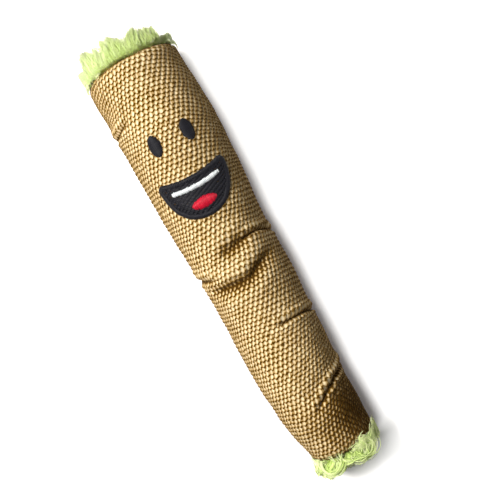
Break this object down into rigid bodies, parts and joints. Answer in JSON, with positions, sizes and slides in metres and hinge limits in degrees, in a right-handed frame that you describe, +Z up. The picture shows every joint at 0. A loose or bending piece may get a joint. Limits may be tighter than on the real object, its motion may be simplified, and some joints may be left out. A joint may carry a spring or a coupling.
{
  "type": "catnip cat toy",
  "caption": "Stuffed catnip stick: a coarse woven tube, tapered to the foot, with a shaggy plush tuft in each end and an embroidered smile.",
  "frame": {"origin": "middle of the footprint, on the surface that the toy lies on", "axes": "+Y along the toy towards the brow, its wide end; +Z up, out of the face; +X to the right when the face is seen upright"},
  "size_m": [0.0416, 0.1976, 0.0397],
  "materials": {
    "weave": "coarse plain-woven jute",
    "plush": "long-pile plush",
    "black_thread": "glossy embroidery thread",
    "white_thread": "glossy embroidery thread",
    "red_thread": "glossy embroidery thread",
    "sewing_thread": "spun sewing thread",
    "wadding": "loose polyester wadding",
    "muslin": "thin plain cloth",
    "herb": "dried, crumbled leaf"
  },
  "bodies": {
    "root": {"cover": "weave", "seam_overlock_thread": "sewing_thread", "closing_thread": "sewing_thread", "brow_plush_disc": "plush", "brow_pile": "plush", "brow_seam_thread": "sewing_thread", "foot_plush_disc": "plush", "foot_pile": "plush", "foot_seam_thread": "sewing_thread", "left_eye": "black_thread", "right_eye": "black_thread", "mouth_fill": "black_thread", "mouth_rim": "black_thread", "teeth": "white_thread", "tongue": "red_thread", "embroidery_backing": "muslin", "brow_wad": "wadding", "sachet_wad": "wadding", "foot_wad": "wadding", "catnip_sachet": "muslin", "catnip": "herb", "sachet_tie": "sewing_thread"}
  },
  "joints": []
}
